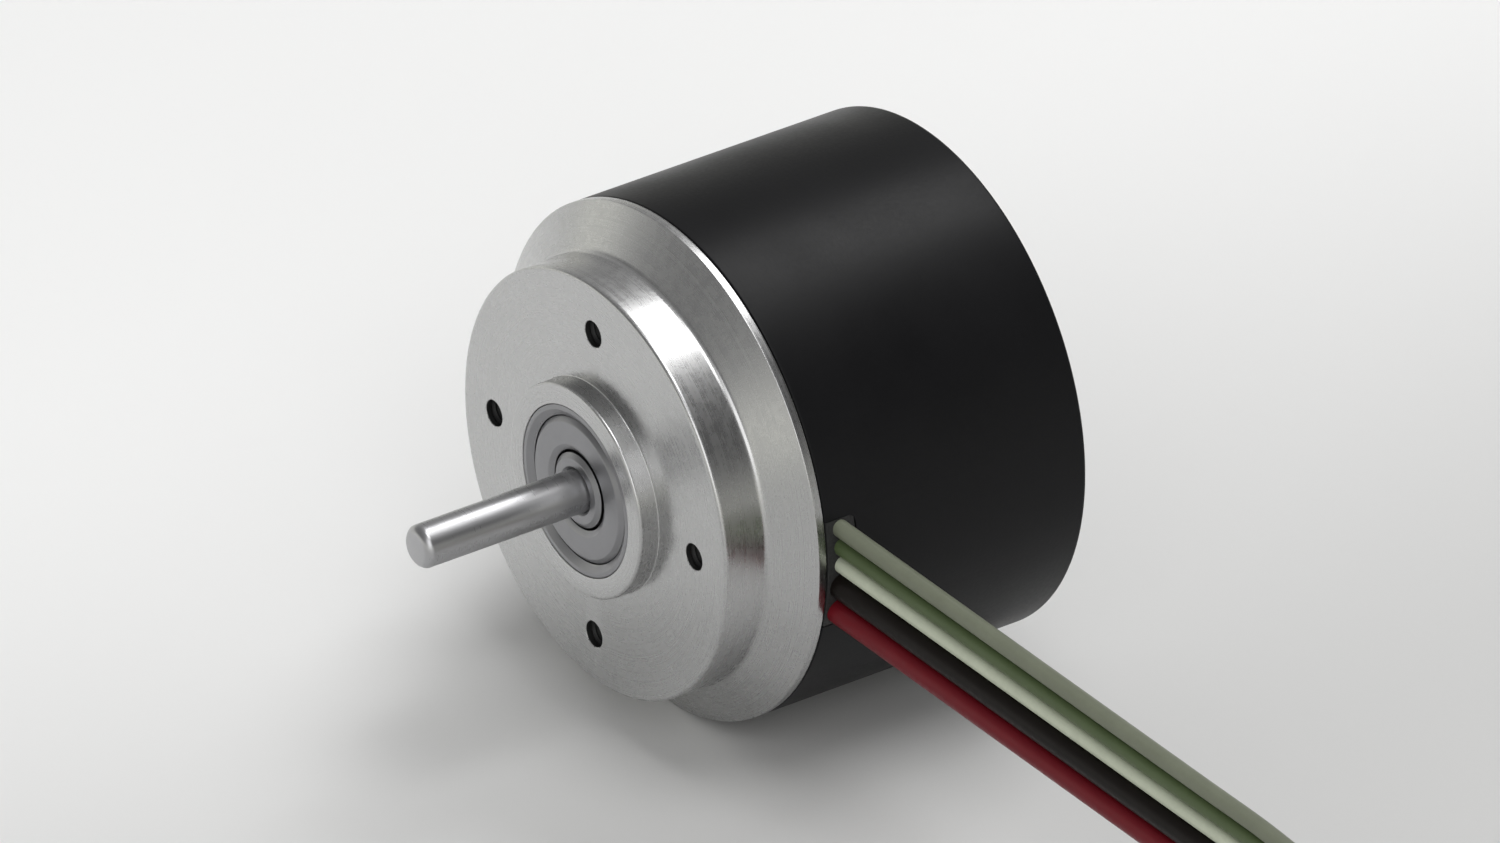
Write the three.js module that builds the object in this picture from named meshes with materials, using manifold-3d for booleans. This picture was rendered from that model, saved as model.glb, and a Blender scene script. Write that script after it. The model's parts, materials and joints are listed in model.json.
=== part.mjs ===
// A small brushless electric motor with its electronics inside and five flying leads.
// Millimetres, +Z up. The shaft points along -Y and the leads leave along +X. The motor
// lies on its side, so the lowest line of its can is at z = 0.
//
// The word depth means the distance behind the mounting face, along +Y. What lies in
// front of that face, such as the pilot boss and the shaft's tip, has a negative depth.

import * as THREE from 'three';
import { mergeVertices } from 'three/addons/utils/BufferGeometryUtils.js';
import Module from 'manifold-3d';

const wasm = await Module();
wasm.setup();

// ---------------------------------------------------------------- driving dimensions

const FACETS = 48; // round housing parts
const FINE_FACETS = 32; // bearing rings and rotor
const SMALL_FACETS = 24; // shaft, spacers and shields
const TINY_FACETS = 12; // screws and holes
const ARC_STEPS = 6; // short arcs of magnets and grommet
const GAP = 0.1; // between fixed pieces that fit into each other

const CAN_R = 24;
const CAN_WALL = 2;
const CAN_EDGE = 0.3; // chamfer at the can's rear edge
const BODY_LENGTH = 36; // mounting face to the can's rear edge
const SHAFT_R = 2;
const SHAFT_OUT = 19; // shaft tip in front of the mounting face

const AXIS_Z = CAN_R;
const FACE_Y = (SHAFT_OUT - BODY_LENGTH) / 2; // centres the motor on y = 0

// Front end bell
const FACE_R = 20; // the disc that carries the mounting face
const FACE_EDGE = 0.5; // chamfer round that disc
const BOSS_R = 10;
const BOSS_OUT = 2;
const BOSS_EDGE = 0.25;
const CONE_START = 4.5;
const RIM_START = 7.2;
const RIM_END = 8;
const SPIGOT_END = 10.5;
const CAVITY_R = 18;
const FLOOR_END = 4.7; // back of the wall behind the mounting face
const SHOULDER_R = 7; // opening behind the bearing
const MOUNT_HOLE_R = 1.25; // tapping size of an M3 thread
const MOUNT_HOLE_COUNT = 4;
const MOUNT_CIRCLE_R = 15.25;

// Bearings, 4 x 16 x 5
const BEARING_R = 8;
const BEARING_WIDTH = 5;
const OUTER_RING_BORE = 6.9;
const INNER_RING_R = 3.5;
const SHIELD_BORE = 3.75;
const SHIELD_R = 6.7;
const SHIELD_THICK = 0.3;
const SHIELD_INSET = 0.2;
const BALL_R = 1.3;
const BALL_CIRCLE_R = 5.2;
const BALL_COUNT = 7;
const CAGE_FACETS = 4 * BALL_COUNT;
const CAGE_HALF_WIDTH = 0.3;
const CAGE_HALF_THICK = 0.25;
const FRONT_BEARING = -1.95; // depth of each bearing's front side
const REAR_BEARING = 28.2;
const SEAT_R = BEARING_R + GAP;
const SEAT_END = FRONT_BEARING + BEARING_WIDTH + GAP; // of the front bearing
const SPRING_R = 7.8;

// Rear end cap
const CAP_INNER = 32;
const CAP_OUTER = BODY_LENGTH - 0.3;
const CAP_EDGE = 0.4;
const CAP_BOSS_R = 10;
const CAP_BOSS_START = 28;
const CAP_SEAT_END = 34.1;
const CAP_HOLE_R = 4.5;

// Through bolts, M2
const BOLT_COUNT = 3;
const BOLT_CIRCLE_R = 19.6;
const BOLT_R = 1;
const BOLT_CLEARANCE = 0.2;
const BOLT_HEAD_R = 1.9;
const BOLT_HEAD_START = 34.3;
const BOLT_HEAD_END = 35.6;
const BOLT_TIP = 6.1;
const BOLT_HOLE_END = 5.8;

// Stator
const TOOTH_COUNT = 9;
const STACK_START = 17.2;
const STACK_END = 28.2;
const STATOR_R = CAN_R - CAN_WALL - 0.2;
const STATOR_BORE = 12.8;
const YOKE_INNER = 18.6;
const TOOTH_HALF_WIDTH = 2;
const SHOE_HALF_ANGLE = THREE.MathUtils.degToRad(15.5);
const SHOE_OUTER = 13.9;
const SHOE_SLOPE = 0.3; // how much deeper the shoe is at the tooth than at its tips
const INSULATOR_THICK = 1;
const COIL_START = 14;
const COIL_END = 31.4;
const COIL_THICK = 2;
const COIL_INNER_HALF_WIDTH = 2.3;
const COIL_HALF_WIDTH = 4.4;
const COIL_CORNER = 1.5;
const COIL_INNER_CORNER = 0.2;
const COIL_INNER_R = 14.6;
const COIL_OUTER_R = 17.8;

// Electronics
const BOARD_START = 11.2;
const BOARD_THICK = 1;
const BOARD_R = 21.4;
const BOARD_BORE = 5;
const SENSOR_CIRCLE_R = 11;
const SENSOR_SIZE = [4, 1.4, 3]; // across, along the axis, along the radius
const CHIP_SIZE = [6, 1.5, 6];
const CHIP_CIRCLE_R = 12;
const CAPACITOR_R = 2.4;
const CAPACITOR_LENGTH = 5.2;
const CAPACITOR_CIRCLE_R = 12.5;

// Rotor
const MAGNET_COUNT = 8;
const MAGNET_R = 12.3;
const MAGNET_INNER_R = 9.8;
const MAGNET_GAP = THREE.MathUtils.degToRad(2);
const MAGNET_START = 15.2;
const MAGNET_END = 27;
const CORE_R = 9.6;
const CORE_END = 26.8;
const ON_SHAFT = SHAFT_R + GAP; // bore of what is pressed on the shaft
const BALANCE_R = 9.4;
const BALANCE_INNER_R = 3.6;
const BALANCE_END = 27.6;
const SPACER_R = 3.3;
const SHAFT_END = 34.7;
const TIP_CHAMFER = 0.5;
const CLIP_START = 33.4;
const CLIP_END = 33.9;
const CLIP_GROOVE_R = 1.5;
const CLIP_R = 3.4;

// Lead exit and leads
const SIGNAL_LEAD_R = 0.8;
const POWER_LEAD_R = 1.25;
const LEAD_GAP = 0.15;
const TOP_LEAD_OFFSET = 3.65; // centre of the top lead above the shaft's axis
const LEAD_DEPTH = 9.7;
const LEAD_Y = FACE_Y + LEAD_DEPTH;
const LEAD_SIDES = 8;
const LEAD_STEPS = 20;
const SLOT_MIDDLE_Z = AXIS_Z - 0.75;
const SLOT_HALF_HEIGHT = 5.4;
const BELL_SLOT_HALF_HEIGHT = 5.9;
const SLOT_END = 11.3;
const GROMMET_INNER_R = 20.4;
const GROMMET_START = 8.5;
const GROMMET_END = 11;
const GROMMET_FROM = THREE.MathUtils.degToRad(-14.6);
const GROMMET_TO = THREE.MathUtils.degToRad(10.9);

// The leads' route from the grommet to the coil: x, z and its downward slope in degrees.
// Each lead keeps its own offset from it. It leaves straight, at the height of the shaft's
// axis, then falls in two bends of opposite sense to the floor.
const LEAD_ROUTE = [
  [24.3, 24, 0],
  [35, 24, 0],
  [46, 24, 0],
  [57, 24, 0],
  [67, 24, 0],
  [77, 24, 0],
  [86, 24, 0],
  [91.2, 23.55, 10],
  [96.2, 22.2, 20],
  [100.9, 20, 30],
  [105.1, 17.05, 40],
  [109, 13.5, 40],
  [113.2, 10.65, 30],
  [117.8, 8.45, 20],
  [122.2, 7.2, 11],
];

// The put-away length: all five leads wound as one ring, stacked as they leave the can.
const COIL_CENTRE_X = 132;
const COIL_Z = 6.7; // height of the route in the coil
const COIL_MIDDLE_R = 12.6;
const COIL_TURNS = 2.5;
const TURN_PITCH = 2.65;
const COIL_HALF_BAND = (COIL_TURNS * TURN_PITCH) / 2;
const COIL_CENTRE_Y = LEAD_Y + COIL_MIDDLE_R + COIL_HALF_BAND;
const TIE_WIDTH = 2.5;
const TIE_THICK = 0.5;
const TIE_GAP = 0.1; // above and below the coil
const TIE_SIDE_GAP = 0.3;

// From the top down: three thin signal leads and two thick power leads.
const LEADS = [
  ['lead_grey', SIGNAL_LEAD_R, 0x7b8070],
  ['lead_green', SIGNAL_LEAD_R, 0x4a5f3c],
  ['lead_white', SIGNAL_LEAD_R, 0xb4b8a8],
  ['lead_black', POWER_LEAD_R, 0x1e1c1a],
  ['lead_red', POWER_LEAD_R, 0x8a1a20],
];

// ---------------------------------------------------------------- materials

const finish = (color, roughness, metalness) => ({ color, roughness, metalness });

const ALUMINIUM = finish(0xc4c5c6, 0.25, 1);
const BLACK_COAT = finish(0x1c1c1e, 0.35, 0);
const STEEL = finish(0xb9babc, 0.2, 1);
const BEARING_STEEL = finish(0x9fa1a4, 0.25, 1);
const BRASS = finish(0xb08d4a, 0.35, 1);
const RUBBER = finish(0x161616, 0.7, 0);
const LAMINATION = finish(0x5c5f63, 0.5, 1);
const NYLON = finish(0xd8d4c4, 0.5, 0);
const COPPER = finish(0xa85a2a, 0.35, 1);
const BOARD_GREEN = finish(0x1f5a34, 0.5, 0);
const CHIP_BLACK = finish(0x18191b, 0.6, 0);
const CAPACITOR_CASE = finish(0xa8aaad, 0.35, 1);
const MAGNET_PLATING = finish(0x8a8c90, 0.3, 1);
const TIE_NYLON = finish(0x1a1a1a, 0.5, 0);

// ---------------------------------------------------------------- geometry helpers

const motor = new THREE.Group();
motor.name = 'electric_motor';

function add(name, geometry, { color, roughness, metalness }) {
  const material = new THREE.MeshStandardMaterial({ color, roughness, metalness });
  const mesh = new THREE.Mesh(geometry, material);
  mesh.name = name;
  motor.add(mesh);
}

// The angle of item k of n round the axis, from +X towards +Z, with one at the start.
const around = (k, n, start = 0) => start + (2 * Math.PI * k) / n;

// The place at that angle on a circle round the axis.
function onCircle(radius, angle) {
  return { x: radius * Math.cos(angle), z: AXIS_Z + radius * Math.sin(angle) };
}

// A turned piece. Its outline is a list of [radius, depth], and it closes on itself or
// starts and ends on the axis. Flats, not corners, lie at the stated radius.
function turned(outline, facets = FACETS, centre = { x: 0, z: AXIS_Z }) {
  const outward = 1 / Math.cos(Math.PI / facets);
  const points = outline.map(([r, depth]) => new THREE.Vector2(r * outward, FACE_Y + depth));
  if (THREE.ShapeUtils.area(points) < 0) {
    points.reverse();
  }
  if (points[0].x > 0) {
    points.push(points[0].clone());
  }
  const geometry = new THREE.LatheGeometry(points, facets, Math.PI / facets);
  return geometry.translate(centre.x, 0, centre.z);
}

// A plain ring between two radii and two depths.
function ring(inner, outer, start, end, facets) {
  return turned([[inner, start], [outer, start], [outer, end], [inner, end]], facets);
}

// A flat piece cut from an outline across the axis and as thick as end - start.
function plate(shape, start, end) {
  const geometry = new THREE.ExtrudeGeometry(shape, { depth: end - start, bevelEnabled: false });
  return geometry.rotateX(Math.PI / 2).translate(0, FACE_Y + end, AXIS_Z);
}

// A point in the plane across the axis.
function polar(radius, angle) {
  return new THREE.Vector2(radius * Math.cos(angle), radius * Math.sin(angle));
}

// A point at that distance along a radius and that far to its side.
function turnedPoint(radius, aside, angle) {
  return new THREE.Vector2(radius, aside).rotateAround(new THREE.Vector2(), angle);
}

// Points along an arc in that plane, both ends included.
function arc(radius, from, to, steps) {
  return Array.from({ length: steps + 1 }, (_, i) => polar(radius, from + ((to - from) * i) / steps));
}

// The corners of a regular polygon in that plane.
const circle = (radius, sides) => arc(radius, 0, 2 * Math.PI, sides).slice(0, -1);

// Part of a ring between two angles.
function sector(inner, outer, from, to, steps) {
  return new THREE.Shape([...arc(outer, from, to, steps), ...arc(inner, to, from, steps)]);
}

// A round hole or pin along the axis direction, as a cutting tool.
function drill(radius, start, end, ringRadius, angle) {
  const { x, z } = onCircle(ringRadius, angle);
  const outward = 1 / Math.cos(Math.PI / TINY_FACETS);
  const r = radius * outward;
  const geometry = new THREE.CylinderGeometry(r, r, end - start, TINY_FACETS);
  return geometry.translate(x, FACE_Y + (start + end) / 2, z);
}

function toSolid(geometry) {
  geometry.deleteAttribute('normal');
  geometry.deleteAttribute('uv');
  const merged = mergeVertices(geometry);
  const triangles = [];
  for (let i = 0; i < merged.index.count; i += 3) {
    const corners = [0, 1, 2].map((k) => merged.index.getX(i + k));
    if (new Set(corners).size === 3) {
      triangles.push(...corners);
    }
  }
  const mesh = new wasm.Mesh({
    numProp: 3,
    vertProperties: new Float32Array(merged.attributes.position.array),
    triVerts: new Uint32Array(triangles),
  });
  return new wasm.Manifold(mesh);
}

function fromSolid(solid) {
  const mesh = solid.getMesh();
  const geometry = new THREE.BufferGeometry();
  geometry.setAttribute('position', new THREE.BufferAttribute(mesh.vertProperties, 3));
  geometry.setIndex(new THREE.BufferAttribute(mesh.triVerts, 1));
  return geometry;
}

function cut(geometry, tools) {
  return fromSolid(tools.reduce((left, tool) => left.subtract(toSolid(tool)), toSolid(geometry)));
}

function join(geometries) {
  const [first, ...rest] = geometries.map(toSolid);
  return fromSolid(rest.reduce((whole, piece) => whole.add(piece), first));
}

// The box that the leads pass through, from startX outwards.
function leadSlot(startX, start, halfHeight) {
  const width = CAN_R + 2 - startX;
  const box = new THREE.BoxGeometry(width, SLOT_END - start, 2 * halfHeight);
  return box.translate(startX + width / 2, FACE_Y + (start + SLOT_END) / 2, SLOT_MIDDLE_Z);
}

const boltAngles = Array.from({ length: BOLT_COUNT }, (_, k) => around(k, BOLT_COUNT, Math.PI / 2));

// ---------------------------------------------------------------- housing

function frontEndBell() {
  const outline = [
    [SEAT_R, -BOSS_OUT],
    [BOSS_R - BOSS_EDGE, -BOSS_OUT],
    [BOSS_R, BOSS_EDGE - BOSS_OUT],
    [BOSS_R, 0],
    [FACE_R - FACE_EDGE, 0],
    [FACE_R, FACE_EDGE],
    [FACE_R, CONE_START],
    [CAN_R, RIM_START],
    [CAN_R, RIM_END],
    [CAN_R - CAN_WALL - GAP, RIM_END],
    [CAN_R - CAN_WALL - GAP, SPIGOT_END],
    [CAVITY_R, SPIGOT_END],
    [CAVITY_R, FLOOR_END],
    [SHOULDER_R, FLOOR_END],
    [SHOULDER_R, SEAT_END],
    [SEAT_R, SEAT_END],
  ];
  const holes = Array.from({ length: MOUNT_HOLE_COUNT }, (_, k) =>
    drill(MOUNT_HOLE_R, -1, FLOOR_END + 1, MOUNT_CIRCLE_R, around(k, MOUNT_HOLE_COUNT)),
  );
  const threads = boltAngles.map((angle) =>
    drill(BOLT_R + BOLT_CLEARANCE, BOLT_HOLE_END, SPIGOT_END + 1, BOLT_CIRCLE_R, angle),
  );
  const slot = leadSlot(CAVITY_R - 1, GROMMET_START - GAP, BELL_SLOT_HALF_HEIGHT);
  return cut(turned(outline), [...holes, ...threads, slot]);
}

function housingCan() {
  const start = RIM_END + GAP;
  const outline = [
    [CAN_R - CAN_WALL, start],
    [CAN_R, start],
    [CAN_R, BODY_LENGTH - CAN_EDGE],
    [CAN_R - CAN_EDGE, BODY_LENGTH],
    [CAN_R - CAN_WALL, BODY_LENGTH],
  ];
  return cut(turned(outline), [leadSlot(CAN_R - CAN_WALL - 2, start - 1, SLOT_HALF_HEIGHT)]);
}

function rearEndCap() {
  const outline = [
    [CAP_HOLE_R, CAP_OUTER],
    [CAN_R - CAN_WALL - GAP - CAP_EDGE, CAP_OUTER],
    [CAN_R - CAN_WALL - GAP, CAP_OUTER - CAP_EDGE],
    [CAN_R - CAN_WALL - GAP, CAP_INNER],
    [CAP_BOSS_R, CAP_INNER],
    [CAP_BOSS_R, CAP_BOSS_START],
    [SEAT_R, CAP_BOSS_START],
    [SEAT_R, CAP_SEAT_END],
    [CAP_HOLE_R, CAP_SEAT_END],
  ];
  const clearance = boltAngles.map((angle) =>
    drill(BOLT_R + BOLT_CLEARANCE, CAP_INNER - 1, CAP_OUTER, BOLT_CIRCLE_R, angle),
  );
  const counterbores = boltAngles.map((angle) =>
    drill(BOLT_HEAD_R + BOLT_CLEARANCE, BOLT_HEAD_START - GAP, CAP_OUTER + 1, BOLT_CIRCLE_R, angle),
  );
  return cut(turned(outline), [...clearance, ...counterbores]);
}

function throughBolt(angle) {
  const outline = [
    [0, BOLT_TIP],
    [BOLT_R, BOLT_TIP],
    [BOLT_R, BOLT_HEAD_START],
    [BOLT_HEAD_R, BOLT_HEAD_START],
    [BOLT_HEAD_R, BOLT_HEAD_END],
    [0, BOLT_HEAD_END],
  ];
  return turned(outline, TINY_FACETS, onCircle(BOLT_CIRCLE_R, angle));
}

add('front_end_bell', frontEndBell(), ALUMINIUM);
add('housing_can', housingCan(), BLACK_COAT);
add('rear_end_cap', rearEndCap(), ALUMINIUM);
boltAngles.forEach((angle, k) => add(`through_bolt_${k + 1}`, throughBolt(angle), STEEL));
add(
  'lead_grommet',
  plate(
    sector(GROMMET_INNER_R, CAN_R - GAP, GROMMET_FROM, GROMMET_TO, ARC_STEPS),
    GROMMET_START,
    GROMMET_END,
  ),
  RUBBER,
);
const springStart = REAR_BEARING + BEARING_WIDTH + GAP;
add('wave_spring', ring(OUTER_RING_BORE, SPRING_R, springStart, CAP_SEAT_END - GAP, FINE_FACETS), STEEL);

// ---------------------------------------------------------------- bearings

// The balls of one bearing, held in their cage.
function ballSet(middle) {
  const cage = ring(
    BALL_CIRCLE_R - CAGE_HALF_WIDTH,
    BALL_CIRCLE_R + CAGE_HALF_WIDTH,
    middle - CAGE_HALF_THICK,
    middle + CAGE_HALF_THICK,
    CAGE_FACETS,
  );
  const balls = Array.from({ length: BALL_COUNT }, (_, k) => {
    const { x, z } = onCircle(BALL_CIRCLE_R, around(k, BALL_COUNT, Math.PI / 2));
    return new THREE.SphereGeometry(BALL_R, 8, 6).translate(x, FACE_Y + middle, z);
  });
  return join([cage, ...balls]);
}

function addBearing(end, start) {
  const stop = start + BEARING_WIDTH;
  const shield = (from) => ring(SHIELD_BORE, SHIELD_R, from, from + SHIELD_THICK, SMALL_FACETS);
  const pieces = {
    outer_ring: ring(OUTER_RING_BORE, BEARING_R, start, stop, FINE_FACETS),
    inner_ring: ring(ON_SHAFT, INNER_RING_R, start, stop, SMALL_FACETS),
    front_shield: shield(start + SHIELD_INSET),
    rear_shield: shield(stop - SHIELD_INSET - SHIELD_THICK),
    balls: ballSet((start + stop) / 2),
  };
  Object.entries(pieces).forEach(([name, geometry]) => {
    add(`${end}_bearing_${name}`, geometry, BEARING_STEEL);
  });
}

addBearing('front', FRONT_BEARING);
addBearing('rear', REAR_BEARING);

// ---------------------------------------------------------------- stator

// The lamination outline: a yoke with grooves for the bolts, and teeth with shoes. Every
// edge is drawn in by inset, so that an insulator can be a little smaller than the core.
function lamination(inset) {
  const outer = STATOR_R - inset;
  const grooveHalf = BOLT_R + BOLT_CLEARANCE + GAP;
  const grooveBottom = BOLT_CIRCLE_R - BOLT_R - BOLT_CLEARANCE;
  const groove = Math.asin(grooveHalf / outer);
  const outline = boltAngles.flatMap((angle) => {
    const next = angle + (2 * Math.PI) / BOLT_COUNT;
    return [
      turnedPoint(grooveBottom, -grooveHalf, angle),
      turnedPoint(grooveBottom, grooveHalf, angle),
      ...arc(outer, angle + groove, next - groove, 12),
    ];
  });
  const half = TOOTH_HALF_WIDTH - inset;
  const shoe = SHOE_HALF_ANGLE - inset / STATOR_BORE;
  const root = Math.asin(half / (YOKE_INNER + inset));
  const neck = SHOE_OUTER + SHOE_SLOPE - inset;
  const opening = Array.from({ length: TOOTH_COUNT }, (_, k) => {
    const middle = around(k, TOOTH_COUNT, Math.PI / 2);
    const next = around(k + 1, TOOTH_COUNT, Math.PI / 2);
    return [
      ...arc(STATOR_BORE + inset, middle - shoe, middle + shoe, 4),
      polar(SHOE_OUTER - inset, middle + shoe),
      turnedPoint(neck, half, middle),
      ...arc(YOKE_INNER + inset, middle + root, next - root, 2),
      turnedPoint(neck, -half, next),
      polar(SHOE_OUTER - inset, next - shoe),
    ];
  }).flat();
  const shape = new THREE.Shape(outline);
  shape.holes.push(new THREE.Path(opening));
  return shape;
}

// One winding: a flat loop round its tooth, as wide along the radius as the slot allows.
function winding(angle) {
  const loop = (halfWidth, start, end, corner) => [
    new THREE.Vector2(-halfWidth, start + corner),
    new THREE.Vector2(corner - halfWidth, start),
    new THREE.Vector2(halfWidth - corner, start),
    new THREE.Vector2(halfWidth, start + corner),
    new THREE.Vector2(halfWidth, end - corner),
    new THREE.Vector2(halfWidth - corner, end),
    new THREE.Vector2(corner - halfWidth, end),
    new THREE.Vector2(-halfWidth, end - corner),
  ];
  const shape = new THREE.Shape(loop(COIL_HALF_WIDTH, COIL_START, COIL_END, COIL_CORNER));
  const innerStart = COIL_START + COIL_THICK;
  const innerEnd = COIL_END - COIL_THICK;
  shape.holes.push(new THREE.Path(loop(COIL_INNER_HALF_WIDTH, innerStart, innerEnd, COIL_INNER_CORNER)));
  const options = { depth: COIL_OUTER_R - COIL_INNER_R, bevelEnabled: false };
  const geometry = new THREE.ExtrudeGeometry(shape, options);
  geometry.translate(0, 0, COIL_INNER_R).rotateY(Math.PI / 2 - angle);
  return geometry.translate(0, FACE_Y, AXIS_Z);
}

const CORE_CLEAR = GAP / 2;
add('stator_core', plate(lamination(0), STACK_START, STACK_END), LAMINATION);
add(
  'stator_insulator_front',
  plate(lamination(GAP), STACK_START - CORE_CLEAR - INSULATOR_THICK, STACK_START - CORE_CLEAR),
  NYLON,
);
add(
  'stator_insulator_rear',
  plate(lamination(GAP), STACK_END + CORE_CLEAR, STACK_END + CORE_CLEAR + INSULATOR_THICK),
  NYLON,
);
for (let k = 0; k < TOOTH_COUNT; k += 1) {
  add(`coil_${k + 1}`, winding(around(k, TOOTH_COUNT, Math.PI / 2)), COPPER);
}

// ---------------------------------------------------------------- electronics

function circuitBoard() {
  const shape = new THREE.Shape(circle(BOARD_R, FACETS));
  shape.holes.push(new THREE.Path(circle(BOARD_BORE, SMALL_FACETS)));
  boltAngles.forEach((angle) => {
    const hole = circle(BOLT_R + BOLT_CLEARANCE + GAP, TINY_FACETS);
    const centre = polar(BOLT_CIRCLE_R, angle);
    shape.holes.push(new THREE.Path(hole.map((point) => point.add(centre))));
  });
  return plate(shape, BOARD_START, BOARD_START + BOARD_THICK);
}

// A box on the board, square to the radius at its angle.
function component([across, thick, along], start, ringRadius, angle) {
  const { x, z } = onCircle(ringRadius, angle);
  const box = new THREE.BoxGeometry(across, thick, along).rotateY(Math.PI / 2 - angle);
  return box.translate(x, FACE_Y + start + thick / 2, z);
}

function capacitor(angle) {
  const end = BOARD_START - GAP;
  const outline = [
    [0, end - CAPACITOR_LENGTH],
    [CAPACITOR_R, end - CAPACITOR_LENGTH],
    [CAPACITOR_R, end],
    [0, end],
  ];
  return turned(outline, TINY_FACETS, onCircle(CAPACITOR_CIRCLE_R, angle));
}

add('circuit_board', circuitBoard(), BOARD_GREEN);
[-1, 0, 1].forEach((step, k) => {
  const angle = Math.PI / 2 + (step * 4 * Math.PI) / (3 * MAGNET_COUNT);
  const sensor = component(SENSOR_SIZE, BOARD_START + BOARD_THICK + GAP, SENSOR_CIRCLE_R, angle);
  add(`hall_sensor_${k + 1}`, sensor, CHIP_BLACK);
});
const chipStart = BOARD_START - GAP - CHIP_SIZE[1];
add('driver_chip', component(CHIP_SIZE, chipStart, CHIP_CIRCLE_R, around(7, 8)), CHIP_BLACK);
add('capacitor_1', capacitor(around(1, 8)), CAPACITOR_CASE);
add('capacitor_2', capacitor(around(3, 8)), CAPACITOR_CASE);

// ---------------------------------------------------------------- rotor

function shaft() {
  const outline = [
    [0, -SHAFT_OUT],
    [SHAFT_R - TIP_CHAMFER, -SHAFT_OUT],
    [SHAFT_R, TIP_CHAMFER - SHAFT_OUT],
    [SHAFT_R, CLIP_START - GAP],
    [CLIP_GROOVE_R, CLIP_START - GAP],
    [CLIP_GROOVE_R, CLIP_END + GAP],
    [SHAFT_R, CLIP_END + GAP],
    [SHAFT_R, SHAFT_END],
    [0, SHAFT_END],
  ];
  return turned(outline, SMALL_FACETS);
}

add('shaft', shaft(), STEEL);
add('rotor_core', ring(ON_SHAFT, CORE_R, MAGNET_START, CORE_END, FINE_FACETS), LAMINATION);
for (let k = 0; k < MAGNET_COUNT; k += 1) {
  const from = around(k, MAGNET_COUNT) + MAGNET_GAP / 2;
  const to = around(k + 1, MAGNET_COUNT) - MAGNET_GAP / 2;
  const magnet = plate(sector(MAGNET_INNER_R, MAGNET_R, from, to, ARC_STEPS), MAGNET_START, MAGNET_END);
  add(`magnet_${k + 1}`, magnet, MAGNET_PLATING);
}
add('balance_ring', ring(BALANCE_INNER_R, BALANCE_R, CORE_END + GAP, BALANCE_END, FINE_FACETS), BRASS);
add('front_spacer', ring(ON_SHAFT, SPACER_R, SEAT_END, MAGNET_START - GAP, SMALL_FACETS), STEEL);
add('rear_spacer', ring(ON_SHAFT, SPACER_R, CORE_END + GAP, REAR_BEARING - GAP, SMALL_FACETS), STEEL);
add('retaining_ring', ring(CLIP_GROOVE_R + GAP, CLIP_R, CLIP_START, CLIP_END, SMALL_FACETS), STEEL);

// ---------------------------------------------------------------- leads

// How far each lead lies above the route: one under the other, a small gap apart.
const leadOffsets = LEADS.reduce((offsets, [, radius], k) => {
  if (k === 0) {
    return [TOP_LEAD_OFFSET];
  }
  const above = LEADS[k - 1][1];
  return [...offsets, offsets[k - 1] - above - LEAD_GAP - radius];
}, []);

// One lead, set off by so much from the route, square to it.
function lead(offset, radius) {
  const points = LEAD_ROUTE.map(([x, z, slope]) => {
    const tilt = THREE.MathUtils.degToRad(slope);
    return new THREE.Vector3(x + offset * Math.sin(tilt), LEAD_Y, z + offset * Math.cos(tilt));
  });
  const section = new THREE.Shape(circle(radius, LEAD_SIDES));
  const options = { steps: LEAD_STEPS, extrudePath: new THREE.CatmullRomCurve3(points) };
  return new THREE.ExtrudeGeometry(section, options);
}

LEADS.forEach(([name, radius, color], k) => {
  add(name, lead(leadOffsets[k], radius), finish(color, 0.35, 0));
});

const stackTop = TOP_LEAD_OFFSET + SIGNAL_LEAD_R + GAP / 2;
const stackBottom = leadOffsets[LEADS.length - 1] - POWER_LEAD_R - GAP / 2;
const coilOuter = COIL_MIDDLE_R + COIL_HALF_BAND + POWER_LEAD_R + GAP;
const coilInner = COIL_MIDDLE_R - COIL_HALF_BAND - POWER_LEAD_R - GAP;

function leadCoil() {
  const points = [
    [coilInner, stackBottom],
    [coilOuter, stackBottom],
    [coilOuter, stackTop],
    [coilInner, stackTop],
    [coilInner, stackBottom],
  ].map(([r, height]) => new THREE.Vector2(r, height));
  const geometry = new THREE.LatheGeometry(points, FINE_FACETS).rotateX(Math.PI / 2);
  return geometry.translate(COIL_CENTRE_X, COIL_CENTRE_Y, COIL_Z);
}

// The tie is a band round the coil's bundle, on the side away from the motor.
function leadTie() {
  const width = coilOuter - coilInner + 2 * TIE_SIDE_GAP;
  const height = stackTop - stackBottom + 2 * TIE_GAP;
  const band = new THREE.BoxGeometry(width + 2 * TIE_THICK, TIE_WIDTH, height + 2 * TIE_THICK);
  const inside = new THREE.BoxGeometry(width, 2 * TIE_WIDTH, height);
  const middleX = COIL_CENTRE_X + (coilOuter + coilInner) / 2;
  const middleZ = COIL_Z + (stackTop + stackBottom) / 2;
  return cut(band, [inside]).translate(middleX, COIL_CENTRE_Y, middleZ);
}

add('lead_coil', leadCoil(), finish(0x3a3a38, 0.4, 0));
add('lead_tie', leadTie(), TIE_NYLON);

export default motor;
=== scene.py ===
"""A small brushless motor on a pale studio floor: detailed pieces and node materials.

The scene is in metres, +Z up. The shaft points along -Y and the leads leave along +X. The
dimensions and shape points below are in millimetres, and are scaled by MM where a mesh or a
cord is made. The word depth means the distance behind the mounting face, along +Y.
"""

import json
import math

import bmesh
import bpy
from mathutils import Matrix, Vector


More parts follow.
